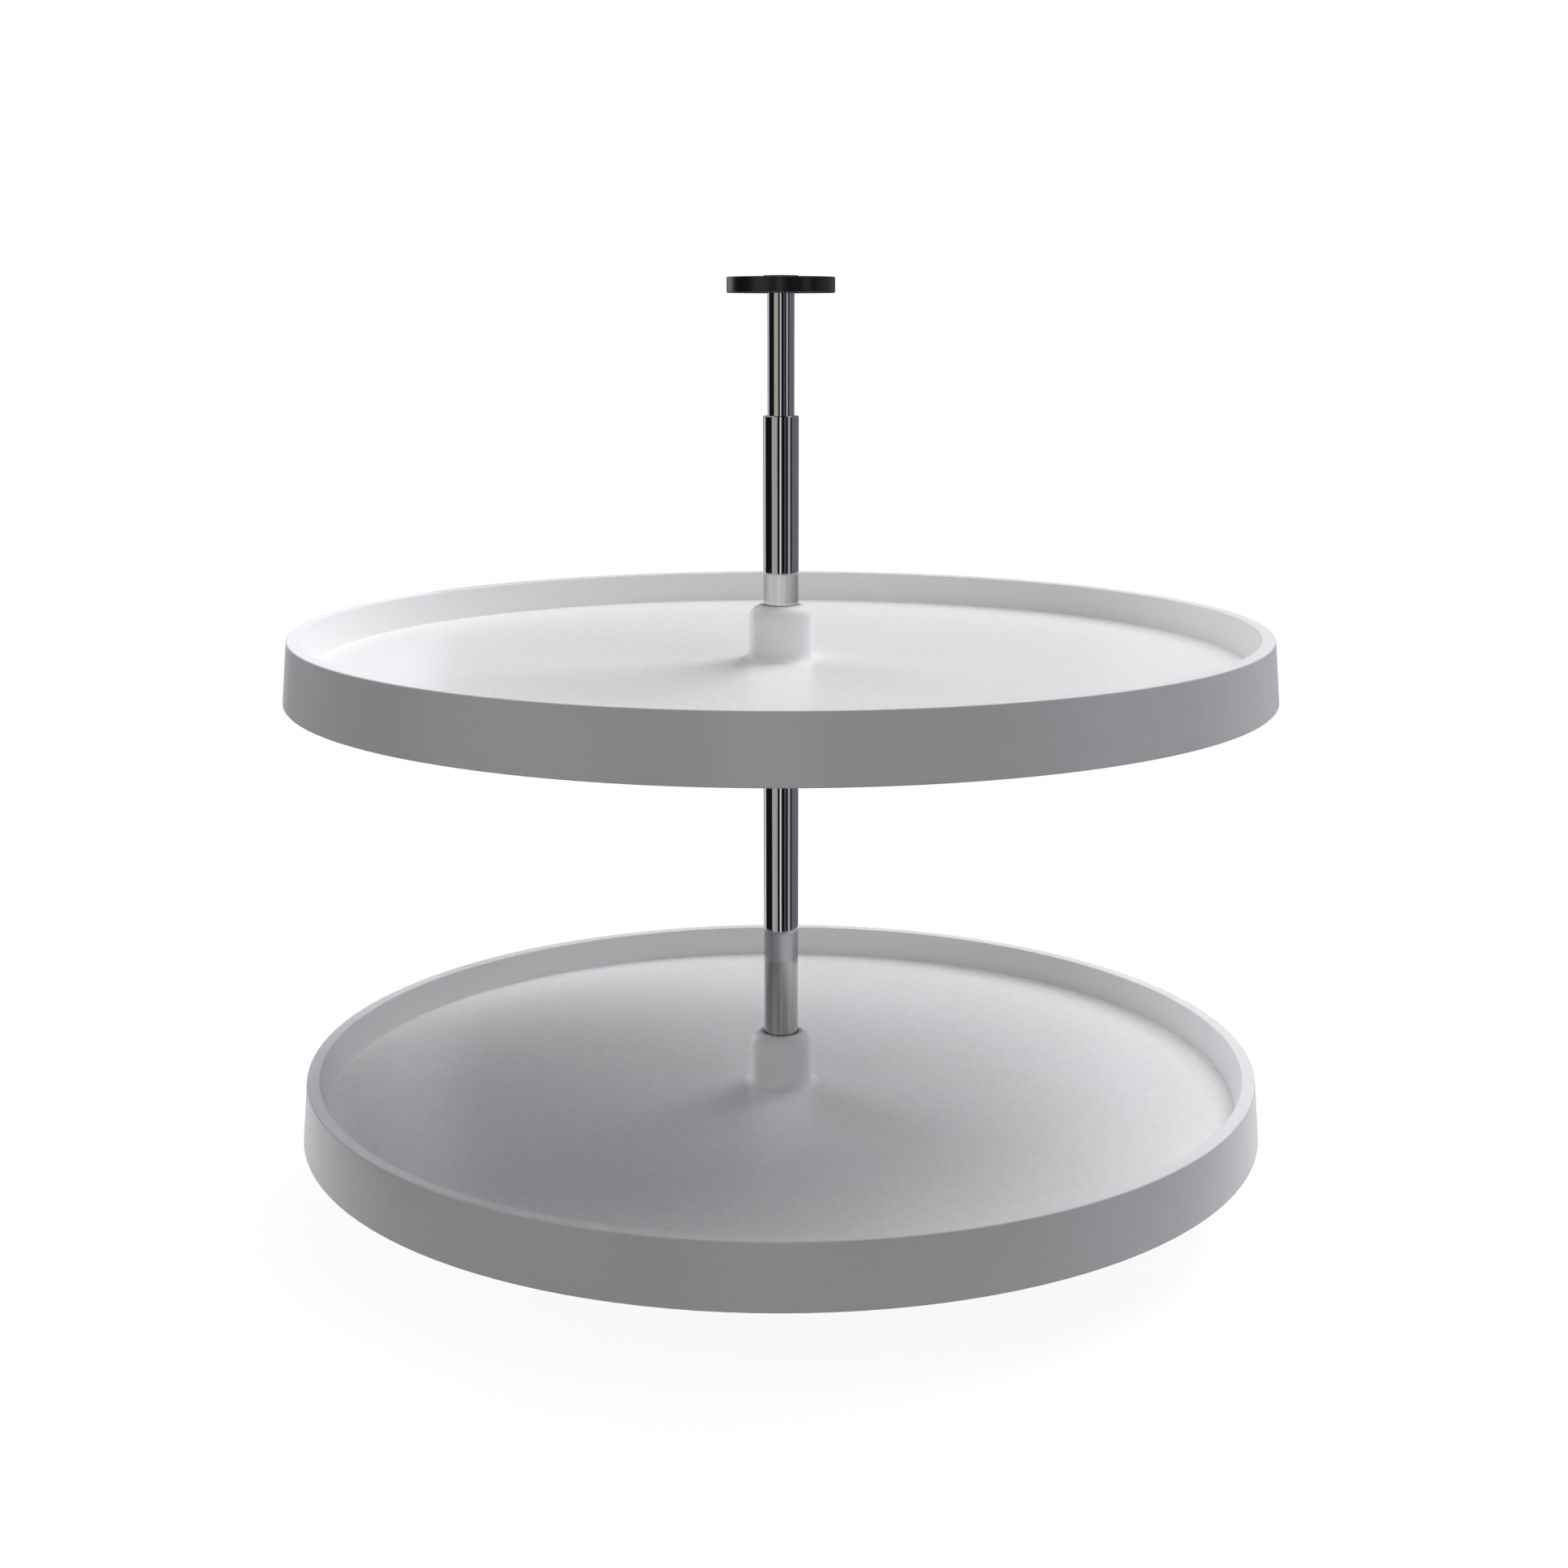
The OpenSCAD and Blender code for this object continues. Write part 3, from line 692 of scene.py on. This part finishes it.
@dataclass(frozen=True)
class CardRing:
    """Upright cards in a ring round the fitting, seen only by reflections.

    Attributes:
        radius: The ring's radius.
        top: The height of the cards.
        step: The turn from one upright face of a card to the next, in degrees.
        panels: The cards, round the ring.
    """

    radius: float = 0.64
    top: float = 1.3
    step: float = 2.0
    panels: tuple[Panel, ...] = (
        Panel("card_black_back", -210.0, -148.0, (0.03, 0.03, 0.03)),
        Panel("card_bright_back", -148.0, -120.0, (1.0, 1.05, 1.2)),
        Panel("card_black_far_left", -120.0, -61.0, (0.014, 0.014, 0.014)),
        Panel("card_warm_left", -61.0, -23.0, (0.78, 0.72, 0.68)),
        Panel("card_black_left", -23.0, -8.5, (0.014, 0.014, 0.014)),
        Panel("card_bright_middle", -8.5, 3.0, (1.14, 1.16, 1.27)),
        Panel("card_black_middle", 3.0, 21.0, (0.012, 0.012, 0.013)),
        Panel("card_dim_right", 21.0, 35.0, (0.125, 0.128, 0.13)),
        Panel("card_black_right", 35.0, 46.0, (0.012, 0.012, 0.013)),
        Panel("card_cool_right", 46.0, 64.0, (0.64, 0.65, 0.73)),
        Panel("card_black_far_right", 64.0, 76.0, (0.014, 0.014, 0.015)),
        Panel("card_grey_right", 76.0, 150.0, (0.26, 0.267, 0.30)),
    )

    def build(self) -> None:
        """Makes a curved card for each panel."""
        for panel in self.panels:
            self._card(panel)
            log.info("card %s", panel.name)

    def _card(self, panel: Panel) -> None:
        """Makes one card as a strip of upright faces.

        Args:
            panel: The card's edges and light.
        """
        count = max(1, round((panel.end - panel.start) / self.step))
        points = []
        for i in range(count + 1):
            foot = direction(panel.start + (panel.end - panel.start) * i / count) * self.radius
            points += [(foot.x, foot.y, 0.0), (foot.x, foot.y, self.top)]
        faces = [(2 * i, 2 * i + 1, 2 * i + 3, 2 * i + 2) for i in range(count)]
        material, board = new_material(panel.name)
        board.add("ShaderNodeOutputMaterial", inputs={"Surface": board.glow(panel.glow)})
        card = stage_piece(panel.name, points, faces, material)
        for ray in ("camera", "diffuse", "transmission", "volume_scatter", "shadow"):
            setattr(card, f"visible_{ray}", False)


@dataclass(frozen=True)
class Lamp:
    """A round softbox aimed at the middle of the fitting. Mirrors and the camera don't see it.

    Attributes:
        name: The lamp's name.
        azimuth: Where it stands round the fitting, in degrees.
        elevation: How high it stands, in degrees above what it is aimed at.
        power: Its power in watts.
        colour: Its colour.
        size: Its diameter.
        distance: How far it stands from what it is aimed at.
        aim: The point that it is aimed at.
    """

    name: str
    azimuth: float
    elevation: float
    power: float
    colour: Colour
    size: float = 4.0
    distance: float = 6.0
    aim: Point = (0.0, 0.0, 0.3)

    def build(self) -> None:
        """Makes the lamp."""
        data = bpy.data.lights.new(self.name, "AREA")
        data.shape = "DISK"
        data.size = self.size
        data.energy = self.power
        data.color = self.colour
        lamp = bpy.data.objects.new(self.name, data)
        out = direction(self.azimuth, self.elevation)
        lamp.location = Vector(self.aim) + out * self.distance
        lamp.rotation_euler = out.to_track_quat("Z", "Y").to_euler()
        lamp.visible_glossy = False
        lamp.visible_camera = False
        bpy.context.scene.collection.objects.link(lamp)
        log.info("lamp %s", self.name)


@dataclass(frozen=True)
class Studio:
    """The floor, the world, the lamps and the cards.

    Attributes:
        floor_half: Half the floor's width.
        floor_colour: The floor's colour for the light that it throws back.
        floor_lift: What the floor gives off as seen, so that it looks pale.
        floor_fade: How far from the shaft the floor starts to turn white, and is white.
        lamps: The lamps, each fitted to the shading in the photograph.
        cards: What the chrome mirrors.
    """

    floor_half: float = 12.0
    floor_colour: Colour = (0.22, 0.22, 0.22)
    floor_lift: float = 0.92
    floor_fade: tuple[float, float] = (0.5, 1.1)
    lamps: tuple[Lamp, ...] = (
        Lamp("right_key", 135.0, 45.0, 228.0, (0.96, 0.98, 1.0)),
        Lamp("right_back", 150.0, 20.0, 83.6, (1.0, 0.94, 0.985)),
        Lamp("left_low", -140.0, 0.0, 308.8, (0.93, 0.92, 1.0)),
        Lamp("back_top", 180.0, 70.0, 92.1, (1.0, 0.985, 0.975)),
        Lamp("right_top", 60.0, 70.0, 88.3, (1.0, 0.995, 0.98)),
        Lamp("right_side", 60.0, 20.0, 45.6, (0.82, 0.85, 1.0)),
        Lamp("left_side", -60.0, 20.0, 52.2, (0.93, 0.95, 1.0)),
        Lamp("front_left", -30.0, 20.0, 14.2, (1.0, 0.82, 0.69)),
    )
    cards: CardRing = field(default_factory=CardRing)

    def build(self) -> None:
        """Makes the stage."""
        self._floor()
        self._world()
        for lamp in self.lamps:
            lamp.build()
        self.cards.build()
        bpy.context.scene.view_settings.view_transform = "Standard"

    def _floor(self) -> None:
        """Makes a wide pale floor that keeps shadows and fades into the white background.

        The camera sees through it from below, where it would hide the fitting.
        """
        material, board = new_material("floor")
        seen = board.shown_ray()
        matt = board.add("ShaderNodeBsdfDiffuse", inputs={"Color": opaque(self.floor_colour)})
        lifted = board.add(
            "ShaderNodeAddShader", inputs={0: matt, 1: board.glow(WHITE, self.floor_lift)}
        )
        near = board.mix(seen, matt, lifted)
        away = board.length(board.place()).ramp(*self.floor_fade)
        above = board.mix(seen * away, near, board.glow(WHITE))
        from_below = board.ray("Camera") * board.add("ShaderNodeNewGeometry", out="Backfacing")
        shown = board.mix(from_below, above, board.add("ShaderNodeBsdfTransparent"))
        board.add("ShaderNodeOutputMaterial", inputs={"Surface": shown})
        half = self.floor_half
        corners = [(-half, -half, 0.0), (half, -half, 0.0), (half, half, 0.0), (-half, half, 0.0)]
        stage_piece("floor", corners, [(0, 1, 2, 3)], material)

    @staticmethod
    def _world() -> None:
        """Makes a world that looks plain white and lights nothing."""
        world = bpy.data.worlds.new("studio_world")
        bpy.context.scene.world = world
        world.use_nodes = True
        board = Board(world.node_tree)
        dark, white = (
            board.add("ShaderNodeBackground", inputs={"Color": opaque(colour), "Strength": 1.0})
            for colour in (BLACK, WHITE)
        )
        shown = board.mix(board.shown_ray(), dark, white)
        board.add("ShaderNodeOutputWorld", inputs={"Surface": shown})


# ---- Sub-assemblies ----


@dataclass(frozen=True)
class SubAssembly(ABC):
    """Pieces that go together, each with its material slot."""

    @property
    @abstractmethod
    def finishes(self) -> dict[str, Slot]:
        """Each piece's slot, by the piece's name."""

    def dress(self) -> None:
        """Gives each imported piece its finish."""
        for node, slot in self.finishes.items():
            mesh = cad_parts[node].data
            mesh.materials.clear()
            mesh.materials.append(slot.value.material())
            log.info("%s in %s", node, slot.name)


@dataclass(frozen=True)
class Shaft(SubAssembly):
    """The base, the main tube and its guide bush."""

    @property
    def finishes(self) -> dict[str, Slot]:
        """Each piece's slot, by the piece's name."""
        return {
            "base_flange": Slot.black_nylon,
            "base_screw": Slot.black_steel,
            "main_tube": Slot.chrome_tube,
            "guide_bush": Slot.black_nylon,
        }


@dataclass(frozen=True)
class Shelf(SubAssembly):
    """A tray with its sleeve, ball thrust bearing and collar.

    Attributes:
        level: Which shelf it is, "lower" or "upper".
    """

    level: str

    @property
    def finishes(self) -> dict[str, Slot]:
        """Each piece's slot, by the piece's name."""
        own = {
            "tray": Slot.white_polymer,
            "tray_sleeve": Slot.natural_nylon,
            "tray_race": Slot.zinc_plate,
            "race_screws": Slot.zinc_plate,
            "ball_cage": Slot.natural_nylon,
            "bearing_balls": Slot.bearing_steel,
            "collar_race": Slot.zinc_plate,
            "collar": Slot.die_cast_zinc,
            "collar_screws": Slot.black_steel,
        }
        return {f"{self.level}_{piece}": slot for piece, slot in own.items()}


@dataclass(frozen=True)
class Mast(SubAssembly):
    """The telescoping upper tube, its twist lock and its plugs."""

    @property
    def finishes(self) -> dict[str, Slot]:
        """Each piece's slot, by the piece's name."""
        return {
            "upper_tube": Slot.chrome_tube,
            "lock_plug": Slot.black_nylon,
            "lock_stud": Slot.turned_steel,
            "stop_nut": Slot.zinc_plate,
            "lock_collet": Slot.natural_nylon,
            "lock_cone": Slot.turned_steel,
            "top_plug": Slot.black_nylon,
            "pivot_pin": Slot.turned_steel,
        }


@dataclass(frozen=True)
class MountingDisc(SubAssembly):
    """The swivelling disc at the top and the cap over its pivot."""

    @property
    def finishes(self) -> dict[str, Slot]:
        """Each piece's slot, by the piece's name."""
        return {"top_disc": Slot.black_gloss, "pivot_cap": Slot.black_gloss}


def main() -> None:
    """Sets up the studio and dresses the fitting from the floor up."""
    logging.basicConfig(level=logging.INFO, format="%(message)s")
    StudioCamera().build()
    Studio().build()
    for assembly in (Shaft(), Shelf("lower"), Shelf("upper"), Mast(), MountingDisc()):
        assembly.dress()


if __name__ == "__main__":
    main()
